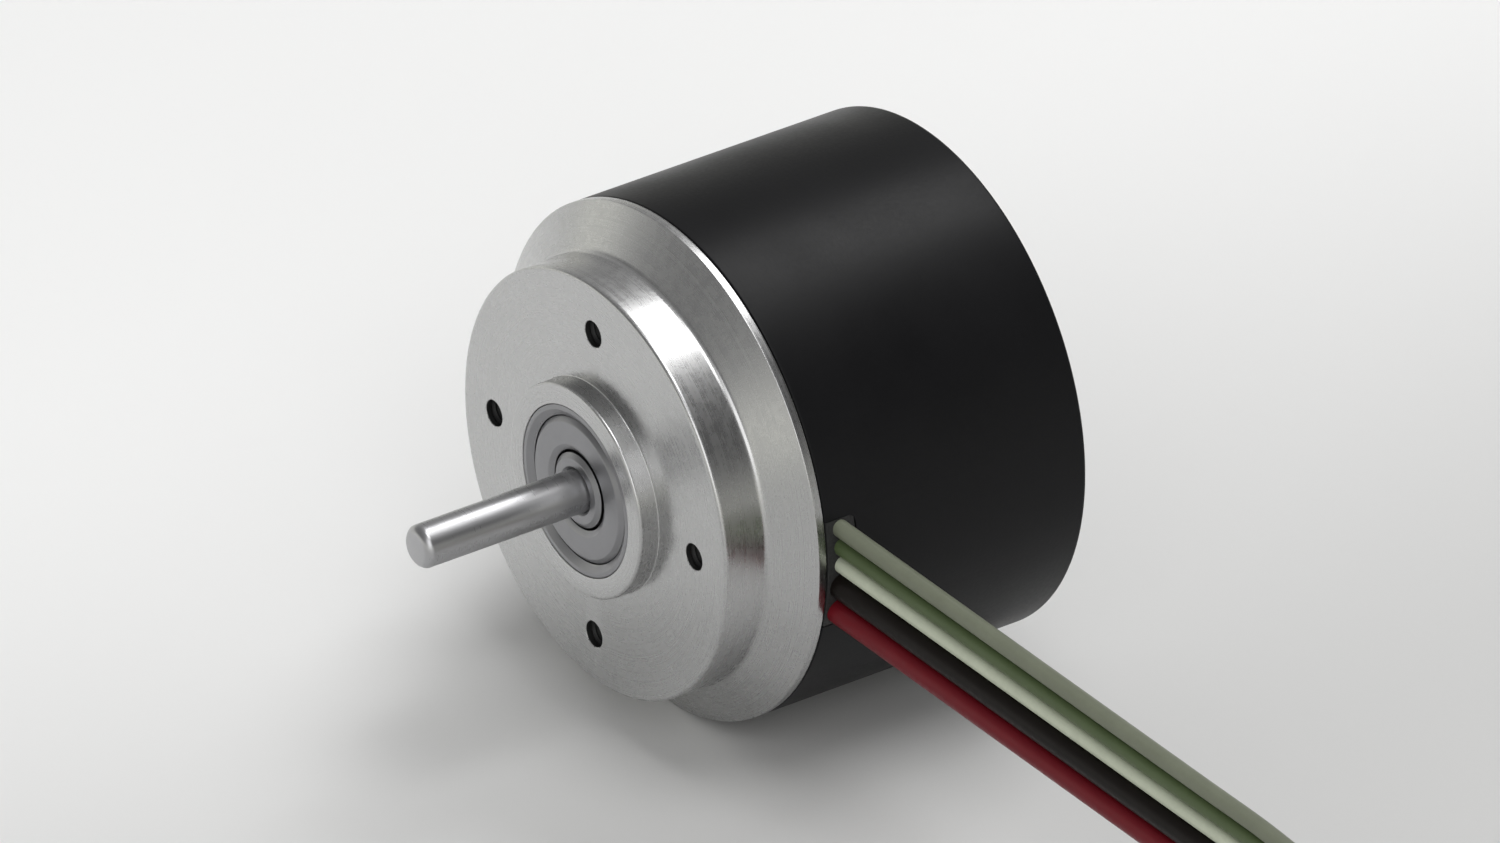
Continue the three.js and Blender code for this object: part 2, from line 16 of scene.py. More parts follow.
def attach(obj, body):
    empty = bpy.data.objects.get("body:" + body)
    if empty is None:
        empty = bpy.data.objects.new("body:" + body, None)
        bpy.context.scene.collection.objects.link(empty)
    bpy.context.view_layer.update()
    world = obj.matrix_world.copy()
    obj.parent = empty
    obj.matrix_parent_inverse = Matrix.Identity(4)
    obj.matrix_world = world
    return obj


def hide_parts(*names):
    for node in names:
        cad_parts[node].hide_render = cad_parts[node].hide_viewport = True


MM = 0.001
TURN = 2 * math.pi

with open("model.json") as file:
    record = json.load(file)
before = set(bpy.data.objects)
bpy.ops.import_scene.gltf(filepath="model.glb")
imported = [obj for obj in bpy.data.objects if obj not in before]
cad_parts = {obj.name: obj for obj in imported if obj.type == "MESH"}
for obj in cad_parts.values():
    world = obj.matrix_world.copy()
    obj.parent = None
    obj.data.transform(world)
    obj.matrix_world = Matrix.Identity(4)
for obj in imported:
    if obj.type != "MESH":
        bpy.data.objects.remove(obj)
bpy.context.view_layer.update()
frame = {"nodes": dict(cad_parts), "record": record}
nodes = frame["nodes"]

# ------------------------------------------------------------------ driving dimensions, mm

AXIS_Z = 24.0
CAN_R = 24.0
FACE_Y = -8.5
BODY_LENGTH = 36.0
SHAFT_OUT = 19.0
GAP = 0.1

FACE_R = 20.0
BOSS_R = 10.0
BOSS_OUT = 2.0
SEAT_R = 8.03
SEAT_END = 3.15
SHOULDER_R = 7.0
CONE_START = 4.5
RIM_START = 7.2
RIM_END = 8.0
SPIGOT_R = 21.9
SPIGOT_END = 10.5
CAVITY_R = 18.0
FLOOR_END = 4.7
MOUNT_CIRCLE_R = 15.25
THREAD_MINOR_R = 1.25
THREAD_MAJOR_R = 1.5
THREAD_PITCH = 0.5

CAP_START = 32.0
CAP_END = 35.7
CAP_BOSS_START = 28.0
CAP_SEAT_END = 34.1
CAP_HOLE_R = 4.5
CAP_GROOVE_INNER_R = 12.5
CAP_GROOVE_OUTER_R = 16.0
CAP_GROOVE_DEPTH = 0.5
CAP_SEAT_WALL_R = 10.0

BOLT_CIRCLE_R = 19.6
BOLT_R = 1.0
BOLT_HOLE_R = 1.2
BOLT_HEAD_R = 1.9
BOLT_HEAD_HOLE_R = 2.1
BOLT_HEAD_START = 34.3
BOLT_HEAD_END = 35.6
BOLT_TIP = 6.1
SOCKET_HALF_WIDTH = 0.75
SOCKET_DEPTH = 0.9
BOLT_ANGLES = [math.pi / 2 + k * TURN / 3 for k in range(3)]

FRONT_BEARING = -1.95
REAR_BEARING = 28.2
BEARING_WIDTH = 5.0
BEARING_R = 8.0
BEARING_BORE_R = 2.02
OUTER_RING_BORE_R = 6.9
INNER_RING_R = 3.5
SHIELD_R = 6.82
SHIELD_BORE_R = 3.75

SHAFT_R = 2.0
SHAFT_END = 34.7
RING_GROOVE_R = 1.5
RING_GROOVE_START = 33.3
RING_GROOVE_END = 34.0
SNAP_RING_START = 33.4
SNAP_RING_END = 33.9
SNAP_RING_R = 2.75
SNAP_RING_BORE_R = 1.6
SNAP_LUG_R = 3.35
SNAP_LUG_ROOT_R = 3.2

BELL_SLOT_START = 8.4
BELL_SLOT_HALF_HEIGHT = 5.9
CAN_SLOT_HALF_HEIGHT = 5.4
SLOT_END = 11.3
GROMMET_INNER_R = 20.4
LEAD_Y = FACE_Y + 9.7
SLOT_MIDDLE_Z = AXIS_Z - 0.75
SIGNAL_LEAD_R = 0.8
POWER_LEAD_R = 1.25
LEAD_GAP = 0.15
TOP_LEAD_OFFSET = 3.65
LEAD_SIDES = 24

LATHE_STEPS = 192
FINE_STEPS = 96


# ------------------------------------------------------------------ camera

# The camera looks down on the front of the motor from its right, with a long lens.
AZIMUTH = math.radians(54.65)
ELEVATION = math.radians(30.3)
CAMERA_DISTANCE = 2.1427
CAMERA_RIGHT = 0.01372
CAMERA_UP = 0.00555
FOCAL_LENGTH = 586.6
SENSOR_WIDTH = 36.0


def place_camera():
    """Aims the camera at the mounting face, then moves it right and up without turning it."""
    right = Vector((math.cos(AZIMUTH), math.sin(AZIMUTH), 0))
    forward = Vector(
        (
            -math.sin(AZIMUTH) * math.cos(ELEVATION),
            math.cos(AZIMUTH) * math.cos(ELEVATION),
            -math.sin(ELEVATION),
        )
    )
    up = right.cross(forward)
    face = Vector((0, FACE_Y, AXIS_Z)) * MM
    data = bpy.data.cameras.new("camera")
    data.lens = FOCAL_LENGTH
    data.sensor_width = SENSOR_WIDTH
    data.clip_start = 0.1
    data.clip_end = 50
    camera = bpy.data.objects.new("camera", data)
    bpy.context.collection.objects.link(camera)
    camera.location = face - forward * CAMERA_DISTANCE + right * CAMERA_RIGHT + up * CAMERA_UP
    camera.rotation_mode = "QUATERNION"
    camera.rotation_quaternion = forward.to_track_quat("-Z", "Y")
    bpy.context.scene.camera = camera


place_camera()


# ------------------------------------------------------------------ leads

# The leads' route from the grommet to the coil: x, z and its downward slope in degrees.
# Each lead keeps its own offset from it, square to the route.
LEAD_ROUTE = [
    (22.4, 24.0, 0),
    (35.0, 24.0, 0),
    (46.0, 24.0, 0),
    (57.0, 24.0, 0),
    (67.0, 24.0, 0),
    (77.0, 24.0, 0),
    (86.0, 24.0, 0),
    (91.2, 23.55, 10),
    (96.2, 22.2, 20),
    (100.9, 20.0, 30),
    (105.1, 17.05, 40),
    (109.0, 13.5, 40),
    (113.2, 10.65, 30),
    (117.8, 8.45, 20),
    (122.2, 7.2, 11),
    (127.0, 6.7, 0),
]
COIL_CENTRE_X = 132.0
COIL_Z = 6.7
COIL_MIDDLE_R = 12.6
COIL_TURNS = 2.5
TURN_PITCH = 2.65
COIL_START_R = COIL_MIDDLE_R + COIL_TURNS * TURN_PITCH / 2
COIL_END_R = COIL_MIDDLE_R - COIL_TURNS * TURN_PITCH / 2
COIL_CENTRE_Y = LEAD_Y + COIL_START_R
COIL_POINTS_PER_TURN = 60
TIP_LENGTH = 5.0

# From the top down: name and radius.
LEADS = [
    ("lead_grey", SIGNAL_LEAD_R),
    ("lead_green", SIGNAL_LEAD_R),
    ("lead_white", SIGNAL_LEAD_R),
    ("lead_black", POWER_LEAD_R),
    ("lead_red", POWER_LEAD_R),
]


def lead_offsets():
    """How far each lead lies above the route: one under the other, a small gap apart."""
    offsets = [TOP_LEAD_OFFSET]
    for (_, above), (_, radius) in zip(LEADS, LEADS[1:]):
        offsets.append(offsets[-1] - above - LEAD_GAP - radius)
    return offsets


def smooth_line(points, steps):
    """Points on a Catmull-Rom curve through the given ones, with steps in each span."""
    ends = [2 * points[0] - points[1], *points, 2 * points[-1] - points[-2]]
    line = []
    for a, b, c, d in zip(ends, ends[1:], ends[2:], ends[3:]):
        for i in range(steps):
            t = i / steps
            line.append(
                0.5
                * (
                    2 * b
                    + (c - a) * t
                    + (2 * a - 5 * b + 4 * c - d) * t**2
                    + (3 * b - a - 3 * c + d) * t**3
                )
            )
    return [*line, points[-1].copy()]


def coil_point(turns, height):
    """The place on the coil's spiral after so many turns from where the lead comes in."""
    radius = COIL_START_R - TURN_PITCH * turns
    angle = TURN * turns - math.pi / 2
    x = COIL_CENTRE_X + radius * math.cos(angle)
    return Vector((x, COIL_CENTRE_Y + radius * math.sin(angle), height))


def lead_line(offset):
    """One lead's centreline, from the grommet along the route and round the coil."""
    route = []
    for x, z, slope in LEAD_ROUTE:
        tilt = math.radians(slope)
        route.append(Vector((x + offset * math.sin(tilt), LEAD_Y, z + offset * math.cos(tilt))))
    height = COIL_Z + offset
    count = round(COIL_TURNS * COIL_POINTS_PER_TURN)
    coil = [coil_point(COIL_TURNS * i / count, height) for i in range(count + 1)]
    return smooth_line(route, 6) + coil


OFFSETS = lead_offsets()


# ------------------------------------------------------------------ mesh helpers


def finish_mesh(name, mesh, body, replaced=(), sharp=32):
    """A mesh in millimetres becomes a riding piece in metres, smooth but for sharp edges."""
    mesh.transform(Matrix.Scale(MM, 4))
    mesh.validate()
    mesh.shade_smooth()
    mesh.set_sharp_from_angle(angle=math.radians(sharp))
    piece = bpy.data.objects.new(name, mesh)
    bpy.context.collection.objects.link(piece)
    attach(piece, body)
    if replaced:
        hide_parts(*replaced)
    return piece


def filleted(corners, steps=4):
    """An outline of (radius, depth) from corners of (radius, depth, fillet radius).

    The outline is closed. A fillet is left out where it is 0.
    """
    outline = []
    count = len(corners)
    for i, (r, s, fillet) in enumerate(corners):
        here = Vector((r, s))
        if fillet == 0:
            outline.append(here)
            continue
        before = Vector(corners[i - 1][:2]) - here
        after = Vector(corners[(i + 1) % count][:2]) - here
        half = before.angle(after) / 2
        reach = fillet / math.tan(half)
        start = here + before.normalized() * reach
        end = here + after.normalized() * reach
        for k in range(steps + 1):
            t = k / steps
            middle = start * (1 - t) ** 2 + here * 2 * t * (1 - t) + end * t**2
            outline.append(middle)
    return [(point.x, point.y) for point in outline]


def lathe_mesh(name, outline, steps=LATHE_STEPS, centre=(0.0, AXIS_Z), on_axis=False):
    """A body turned round an axis along Y. An outline that starts and ends on the axis
    isn't joined along it."""
    cx, cz = centre
    verts = []
    faces = []
    rings = []
    for r, s in outline:
        if on_axis and r == 0:
            rings.append([len(verts)] * steps)
            verts.append((cx, FACE_Y + s, cz))
            continue
        start = len(verts)
        rings.append(list(range(start, start + steps)))
        for k in range(steps):
            angle = TURN * k / steps
            verts.append((cx + r * math.cos(angle), FACE_Y + s, cz + r * math.sin(angle)))
    pairs = list(zip(rings, rings[1:]))
    if not on_axis:
        pairs.append((rings[-1], rings[0]))
    for a, b in pairs:
        for k in range(steps):
            n = (k + 1) % steps
            face = []
            for v in (a[k], a[n], b[n], b[k]):
                if v not in face:
                    face.append(v)
            faces.append(face)
    mesh = bpy.data.meshes.new(name)
    mesh.from_pydata(verts, [], faces)
    point_outward(mesh)
    return mesh


def point_outward(mesh):
    """Turns a closed mesh's faces so that they look out of its body."""
    work = bmesh.new()
    work.from_mesh(mesh)
    bmesh.ops.recalc_face_normals(work, faces=work.faces)
    if work.calc_volume(signed=True) < 0:
        bmesh.ops.reverse_faces(work, faces=work.faces)
    work.to_mesh(mesh)
    work.free()


def prism_mesh(name, outline, start, end, edge=0.0):
    """A flat piece with an (x, z) outline, from one depth to another, edges bevelled."""
    work = bmesh.new()
    low = [work.verts.new((x, FACE_Y + start, z)) for x, z in outline]
    high = [work.verts.new((x, FACE_Y + end, z)) for x, z in outline]
    work.faces.new(low)
    work.faces.new(high)
    for i in range(len(outline)):
        n = (i + 1) % len(outline)
        work.faces.new((low[i], low[n], high[n], high[i]))
    bmesh.ops.recalc_face_normals(work, faces=work.faces)
    if edge:
        rims = [e for e in work.edges if e.verts[0].co.y == e.verts[1].co.y]
        bmesh.ops.bevel(work, geom=rims, offset=edge, segments=3, profile=0.5, affect="EDGES")
    mesh = bpy.data.meshes.new(name)
    work.to_mesh(mesh)
    work.free()
    return mesh


def box_mesh(name, low, high, edge, segments=3):
    """A box between two corners, with its edges rounded."""
    work = bmesh.new()
    bmesh.ops.create_cube(work, size=1)
    size = Vector(high) - Vector(low)
    for v in work.verts:
        v.co = Vector(low) + Vector((c + 0.5) * s for c, s in zip(v.co, size))
    bmesh.ops.bevel(
        work, geom=work.edges[:], offset=edge, segments=segments, profile=0.5, affect="EDGES"
    )
    mesh = bpy.data.meshes.new(name)
    work.to_mesh(mesh)
    work.free()
    return mesh


def cut(mesh, tools):
    """The mesh with the tools' volumes taken away."""
    body = bpy.data.objects.new("body", mesh)
    bpy.context.collection.objects.link(body)
    cutters = []
    for tool in tools:
        cutter = bpy.data.objects.new("cutter", tool)
        bpy.context.collection.objects.link(cutter)
        cutters.append(cutter)
        modifier = body.modifiers.new("cut", "BOOLEAN")
        modifier.operation = "DIFFERENCE"
        modifier.solver = "EXACT"
        modifier.object = cutter
    bpy.context.view_layer.update()
    shaped = bpy.data.meshes.new_from_object(
        body.evaluated_get(bpy.context.evaluated_depsgraph_get())
    )
    shaped.name = mesh.name + "_cut"
    for item in [body, *cutters]:
        bpy.data.objects.remove(item)
    return shaped


def sweep_mesh(name, line, section, closed=False, twist=0.0):
    """A section of (across, up) points carried along a line. It doesn't turn round the line
    unless a twist is given, in radians from each point to the next."""
    count = len(line)
    tangents = []
    for i in range(count):
        a = line[i - 1] if closed or i else line[i]
        b = line[(i + 1) % count] if closed or i < count - 1 else line[i]
        tangents.append((b - a).normalized())
    normal = tangents[0].orthogonal().normalized()
    flat = all(abs(t.y) < 1e-6 for t in tangents)
    if flat:
        normal = Vector((0, 1, 0))
    verts = []
    for i, (place, tangent) in enumerate(zip(line, tangents)):
        normal = (normal - tangent * normal.dot(tangent)).normalized()
        side = tangent.cross(normal)
        turn = twist * i
        for u, w in section:
            across = u * math.cos(turn) - w * math.sin(turn)
            up = u * math.sin(turn) + w * math.cos(turn)
            verts.append(place + normal * across + side * up)
    size = len(section)
    faces = []
    for i in range(count if closed else count - 1):
        for k in range(size):
            a = i * size + k
            b = i * size + (k + 1) % size
            c = ((i + 1) % count) * size + (k + 1) % size
            d = ((i + 1) % count) * size + k
            faces.append((a, b, c, d))
    if not closed:
        faces.append(list(range(size)))
        faces.append(list(range((count - 1) * size, count * size)))
    mesh = bpy.data.meshes.new(name)
    mesh.from_pydata(verts, [], faces)
    point_outward(mesh)
    return mesh


def rounded_rectangle(half_width, half_height, corner, steps=4):
    """Points round a rectangle with rounded corners, counter-clockwise."""
    points = []
    for k, (sx, sy) in enumerate([(1, 1), (-1, 1), (-1, -1), (1, -1)]):
        for i in range(steps + 1):
            angle = TURN * (k + i / steps) / 4
            x = sx * (half_width - corner) + corner * math.cos(angle)
            y = sy * (half_height - corner) + corner * math.sin(angle)
            points.append((x, y))
    return points


def on_circle(radius, angle):
    """The point (x, z) so far from the shaft's axis, at an angle from +X."""
    return (radius * math.cos(angle), AXIS_Z + radius * math.sin(angle))


# ------------------------------------------------------------------ node materials


def feed(tree, socket, value):
    """Links a socket to another node's output, or gives it a plain value."""
    if isinstance(value, bpy.types.NodeSocket):
        tree.links.new(value, socket)
    else:
        socket.default_value = value


def add_node(tree, kind, *inputs, named=None, **settings):
    """A shader node with its settings, and its inputs in order or by name."""
    node = tree.nodes.new("ShaderNode" + kind)
    for key, value in settings.items():
        setattr(node, key, value)
    for socket, value in zip(node.inputs, inputs):
        feed(tree, socket, value)
    for key, value in (named or {}).items():
        feed(tree, node.inputs[key], value)
    return node


class Finish:
    """A node material built up round one Principled shader. Places are in millimetres."""

    def __init__(self, name, color, roughness, metallic=0.0, **shader):
        self.material = bpy.data.materials.new(name)
        self.material.use_nodes = True
        self.tree = self.material.node_tree
        self.shader = self.tree.nodes["Principled BSDF"]
        self.set("Base Color", (*color, 1))
        self.set("Roughness", roughness)
        self.set("Metallic", metallic)
        for key, value in shader.items():
            self.set(key.replace("_", " ").title().replace("Ior", "IOR"), value)
        place = self.node("TexCoord").outputs["Object"]
        self.place = self.node("VectorMath", place, (1000, 1000, 1000), operation="MULTIPLY")
        self.place = self.place.outputs[0]
        x, y, z = self.node("SeparateXYZ", self.place).outputs
        self.x = x
        self.depth = self.math("SUBTRACT", y, FACE_Y)
        self.up = self.math("SUBTRACT", z, AXIS_Z)
        square = self.math("ADD", self.math("MULTIPLY", x, x), self.math("POWER", self.up, 2.0))
        self.radius = self.math("SQRT", square)
        self.angle = self.math("ARCTAN2", self.up, x)

    def set(self, name, value):
        """Gives one of the shader's inputs a value, or another node's output."""
        feed(self.tree, self.shader.inputs[name], value)

    def node(self, kind, *inputs, **settings):
        """Adds a node to this material."""
        return add_node(self.tree, kind, *inputs, **settings)

    def math(self, operation, *inputs):
        """The result of one step of arithmetic."""
        return self.node("Math", *inputs, operation=operation).outputs[0]

    def spread(self, value, low, high, to_low, to_high, **settings):
        """A value between low and high, carried over to between two others."""
        return self.node("MapRange", value, low, high, to_low, to_high, **settings).outputs[0]

    def blend(self, a, b, share):
        """Two values added up, so much of the first and the rest of the second."""
        first = self.math("MULTIPLY", a, share)
        return self.math("ADD", first, self.math("MULTIPLY", b, 1 - share))

    def noise(self, size, detail=3.0, at=None, roughness=0.5):
        """Noise from 0 to 1 with features of so many millimetres."""
        named = {"Scale": 1 / size, "Detail": detail, "Roughness": roughness}
        named["Vector"] = self.place if at is None else at
        return self.node("TexNoise", named=named).outputs[0]

    def stripes(self, along, size, detail=2.0):
        """Noise from 0 to 1 that changes along one value only."""
        named = {"W": along, "Scale": 1 / size, "Detail": detail}
        return self.node("TexNoise", noise_dimensions="1D", named=named).outputs[0]

    def mix(self, factor, a, b):
        """A colour between two colours."""
        node = self.node("Mix", data_type="RGBA")
        for socket, value in zip((node.inputs[0], node.inputs[6], node.inputs[7]), (factor, a, b)):
            feed(self.tree, socket, (*value, 1) if isinstance(value, tuple) else value)
        return node.outputs[2]

    def bump(self, height, depth, normal=None):
        """Relief of so many millimetres, on top of the relief so far."""
        named = {"Strength": 1.0, "Distance": depth * MM, "Height": height}
        if normal is not None:
            named["Normal"] = normal
        return self.node("Bump", named=named).outputs[0]

    def vary(self, base, noise, amount):
        """The base colour, lighter and darker by a share of itself."""
        dark = tuple(c * (1 - amount) for c in base)
        light = tuple(min(1.0, c * (1 + amount)) for c in base)
        return self.mix(noise, dark, light)


def turned_metal(name, color, roughness, relief, line_size, anisotropic=0.45):
    """Metal turned on a lathe: rings on flat faces, lines round cylinders, fine wear."""
    metal = Finish(name, color, roughness, 1.0, anisotropic=anisotropic)
    across = metal.math("ADD", metal.radius, metal.depth)
    coarse = metal.stripes(across, line_size * 4, 2)
    fine = metal.stripes(across, line_size, 3)
    cloud = metal.noise(7.0, 3)
    rub = metal.noise(0.9, 4)
    lines = metal.blend(coarse, fine, 0.5)
    metal.set("Base Color", metal.vary(color, metal.blend(lines, cloud, 0.6), 0.07))
    rough = metal.blend(lines, rub, 0.5)
    metal.set("Roughness", metal.spread(rough, 0.3, 0.7, roughness * 0.8, roughness * 1.25))
    metal.set("Normal", metal.bump(rub, relief * 0.2, metal.bump(lines, relief)))
    tangent = metal.node("Tangent", direction_type="RADIAL", axis="Y").outputs[0]
    metal.set("Tangent", tangent)
    return metal.material


def ground_shaft():
    """Ground bar: fine lines round it, a few long streaks and handling marks."""
    steel = (0.45, 0.45, 0.46)
    metal = Finish("shaft_finish", steel, 0.3, 1.0, anisotropic=0.4)
    fine = metal.stripes(metal.depth, 0.12, 3)
    streak = metal.stripes(metal.angle, 0.5, 2)
    cloud = metal.noise(2.5, 3)
    metal.set("Base Color", metal.vary(steel, cloud, 0.06))
    metal.set("Roughness", metal.spread(metal.blend(fine, streak, 0.5), 0.3, 0.7, 0.25, 0.38))
    metal.set("Normal", metal.bump(cloud, 0.002, metal.bump(fine, 0.003)))
    metal.set("Tangent", metal.node("Tangent", direction_type="RADIAL", axis="Y").outputs[0])
    return metal.material


def can_coat():
    """Satin black coat on drawn steel: orange peel, faint draw lines, dust."""
    black = (0.007, 0.007, 0.0078)
    coat = Finish("can_finish", black, 0.4, specular_ior_level=0.14)
    peel = coat.noise(0.35, 3)
    draw = coat.stripes(coat.depth, 0.5, 3)
    cloud = coat.noise(9.0, 3)
    dust = coat.math("POWER", coat.noise(0.12, 2), 6.0)
    base = coat.vary(black, cloud, 0.15)
    coat.set("Base Color", coat.mix(coat.math("MULTIPLY", dust, 0.3), base, (0.05, 0.05, 0.053)))
    coat.set("Roughness", coat.spread(coat.blend(peel, cloud, 0.4), 0.3, 0.7, 0.34, 0.45))
    coat.set("Normal", coat.bump(draw, 0.003, coat.bump(peel, 0.006)))
    return coat.material


def fine_metal(name, color, roughness, grain=0.25, relief=0.004):
    """Plated, pressed or ground metal without a direction."""
    metal = Finish(name, color, roughness, 1.0)
    cloud = metal.noise(grain * 8, 3)
    fine = metal.noise(grain, 4)
    metal.set("Base Color", metal.vary(color, cloud, 0.12))
    rough = metal.blend(cloud, fine, 0.5)
    metal.set("Roughness", metal.spread(rough, 0.3, 0.7, roughness * 0.75, roughness * 1.3))
    metal.set("Normal", metal.bump(fine, relief))
    return metal.material


def stacked_sheets():
    """Laminations: thin dark joints between sheets, and a bluish oxide."""
    metal = Finish("lamination_finish", (0.22, 0.23, 0.25), 0.5, 1.0)
    saw = metal.math("FRACT", metal.math("DIVIDE", metal.depth, 0.5))
    joint = metal.spread(metal.math("ABSOLUTE", metal.math("SUBTRACT", saw, 0.5)), 0.38, 0.5, 0, 1)
    cloud = metal.noise(1.6, 4)
    base = metal.mix(cloud, (0.16, 0.17, 0.2), (0.28, 0.28, 0.29))
    dark = metal.math("MULTIPLY", joint, 0.7)
    metal.set("Base Color", metal.mix(dark, base, (0.03, 0.03, 0.035)))
    metal.set("Roughness", metal.spread(cloud, 0.3, 0.7, 0.4, 0.62))
    metal.set("Normal", metal.bump(metal.math("SUBTRACT", cloud, joint), 0.02))
    return metal.material


def enamelled_wire():
    """Copper wire wound side by side under clear lacquer, with painted shade: the grooves between
    the turns are coloured dark.
    """
    lacquer = {"coat_weight": 0.5, "coat_roughness": 0.15}
    wire = Finish("copper_finish", (0.62, 0.28, 0.12), 0.32, 1.0, **lacquer)
    ridge = wire.math("ABSOLUTE", wire.math("SINE", wire.math("MULTIPLY", wire.radius, TURN / 0.9)))
    cloud = wire.noise(1.2, 3)
    base = wire.mix(cloud, (0.5, 0.2, 0.08), (0.72, 0.34, 0.15))
    # Painted shade: the base colour darkens in the grooves between the turns.
    groove_shade = wire.spread(ridge, 0.0, 0.35, 0.75, 0.0)
    wire.set("Base Color", wire.mix(groove_shade, base, (0.06, 0.02, 0.01)))
    wire.set("Roughness", wire.spread(cloud, 0.3, 0.7, 0.25, 0.42))
    wire.set("Normal", wire.bump(ridge, 0.1))
    return wire.material


def solder_mask():
    """Green board with traces just showing through the mask."""
    board = Finish("board_finish", (0.03, 0.16, 0.06), 0.35, coat_weight=0.3, coat_roughness=0.2)
    cell = board.node(
        "TexVoronoi", feature="DISTANCE_TO_EDGE", named={"Vector": board.place, "Scale": 0.5}
    ).outputs[0]
    trace = board.spread(cell, 0.03, 0.06, 1, 0)
    weave = board.noise(0.3, 2)
    base = board.mix(trace, (0.02, 0.13, 0.05), (0.05, 0.24, 0.09))
    shade = board.math("MULTIPLY", weave, 0.3)
    board.set("Base Color", board.mix(shade, base, (0.015, 0.09, 0.035)))
    board.set("Roughness", board.spread(weave, 0.3, 0.7, 0.28, 0.45))
    board.set("Normal", board.bump(weave, 0.005, board.bump(trace, 0.03)))
    return board.material


def moulded(name, color, roughness, grain=0.3, relief=0.01, amount=0.12, **shader):
    """Moulded plastic or rubber with a fine grain."""
    plastic = Finish(name, color, roughness, **shader)
    fine = plastic.noise(grain, 4)
    cloud = plastic.noise(grain * 12, 3)
    plastic.set("Base Color", plastic.vary(color, cloud, amount))
    roughest = min(1, roughness * 1.25)
    plastic.set("Roughness", plastic.spread(fine, 0.3, 0.7, roughness * 0.8, roughest))
    plastic.set("Normal", plastic.bump(fine, relief))
    return plastic.material


def insulation(name, color, shine):
    """Extruded lead insulation: faint die lines, soft waviness and a little dust."""
    skin = Finish(name, color, 0.4, specular_ior_level=shine)
    lines = skin.stripes(skin.math("ADD", skin.up, skin.math("MULTIPLY", skin.depth, 0.7)), 0.18, 3)
    wave = skin.noise(4.0, 2)
    grime = skin.noise(0.5, 4)
    skin.set("Base Color", skin.vary(color, skin.blend(wave, grime, 0.6), 0.16))
    skin.set("Roughness", skin.spread(grime, 0.3, 0.7, 0.28, 0.46))
    skin.set("Normal", skin.bump(wave, 0.05, skin.bump(lines, 0.006)))
    return skin.material


def studio_floor():
    """Matt pale sheet with a barely visible tooth, and a painted light falloff: its colour is
    lighter towards -X and darker towards +X.
    """
    sheet = Finish("floor_finish", (0.8, 0.8, 0.79), 0.85, specular_ior_level=0.2)
    cloud = sheet.noise(60.0, 2)
    tooth = sheet.noise(0.6, 3)
    # Painted light and shade: the colour runs from 0.67 at +X to 0.98 at -X, standing in for how
    # the light falls off across the floor.
    lit = sheet.spread(sheet.x, 48.0, -82.0, 0.0, 1.0, interpolation_type="SMOOTHSTEP")
    base = sheet.mix(lit, (0.67, 0.67, 0.665), (0.98, 0.98, 0.975))
    sheet.set("Base Color", sheet.mix(sheet.math("MULTIPLY", cloud, 0.04), base, (0.6, 0.6, 0.6)))
    sheet.set("Roughness", sheet.spread(tooth, 0.3, 0.7, 0.8, 0.92))
    sheet.set("Normal", sheet.bump(tooth, 0.01))
    return sheet.material


# The insulation of each lead: colour and shine.
LEAD_SKINS = {
    "lead_grey_skin": ((0.175, 0.19, 0.14), 0.22),
    "lead_green_skin": ((0.08, 0.112, 0.048), 0.22),
    "lead_white_skin": ((0.53, 0.57, 0.45), 0.22),
    "lead_black_skin": ((0.008, 0.006, 0.005), 0.13),
    "lead_red_skin": ((0.15, 0.007, 0.013), 0.16),
}

FINISHES = {
    "turned_aluminium": turned_metal("aluminium_finish", (0.5, 0.5, 0.5), 0.27, 0.0025, 0.1),
    "can_coating": can_coat(),
    "shaft_steel": ground_shaft(),
    "plain_steel": fine_metal("zinc_finish", (0.6, 0.6, 0.61), 0.28),
    "bearing_steel": turned_metal("bearing_finish", (0.28, 0.28, 0.29), 0.34, 0.0015, 0.06),
    "rubber": moulded("rubber_finish", (0.018, 0.018, 0.018), 0.7, 0.25, 0.015, 0.2),
    "lamination_steel": stacked_sheets(),
    "nylon": moulded("nylon_finish", (0.72, 0.68, 0.58), 0.45, 0.4, 0.008, 0.08),
    "copper_wire": enamelled_wire(),
    "board": solder_mask(),
    "chip_resin": moulded("resin_finish", (0.02, 0.02, 0.022), 0.55, 0.12, 0.01, 0.15),
    "capacitor_case": fine_metal("capacitor_finish", (0.62, 0.63, 0.65), 0.3, 0.3, 0.003),
    "magnet_plating": fine_metal("magnet_finish", (0.5, 0.49, 0.47), 0.28, 0.2, 0.008),
    "balance_brass": turned_metal("brass_finish", (0.72, 0.52, 0.22), 0.3, 0.004, 0.12),
    "tie_nylon": moulded("tie_finish", (0.014, 0.014, 0.015), 0.42, 0.3, 0.006, 0.15),
    "lead_bundle": moulded("bundle_finish", (0.1, 0.1, 0.09), 0.4, 0.4, 0.01),
    **{slot: insulation(slot + "_finish", *skin) for slot, skin in LEAD_SKINS.items()},
}
TINNED = fine_metal("tinned_finish", (0.66, 0.65, 0.62), 0.3, 0.1, 0.01)
# Painted shade: a near-black colour for the inside of the tapped holes.
HOLE_SHADE_FINISH = moulded("painted_hole_shade_finish", (0.012, 0.012, 0.012), 0.5, 0.1, 0.01, 0.3)

# The CAD's own nodes wear their slots' finishes where no detailed piece replaces them.
for row in frame["record"]["subparts"]:
    mesh = nodes[row["node"]].data
    mesh.materials.clear()
    mesh.materials.append(FINISHES[row["material_slot"]])


def make(name, mesh, body, slot, replaced=(), sharp=32):
    """A finished piece with its slot's material."""
    mesh.materials.clear()
    mesh.materials.append(FINISHES[slot])
    return finish_mesh(name, mesh, body, replaced, sharp)


# ------------------------------------------------------------------ housing

MOUNT_HOLE_COUNT = 4


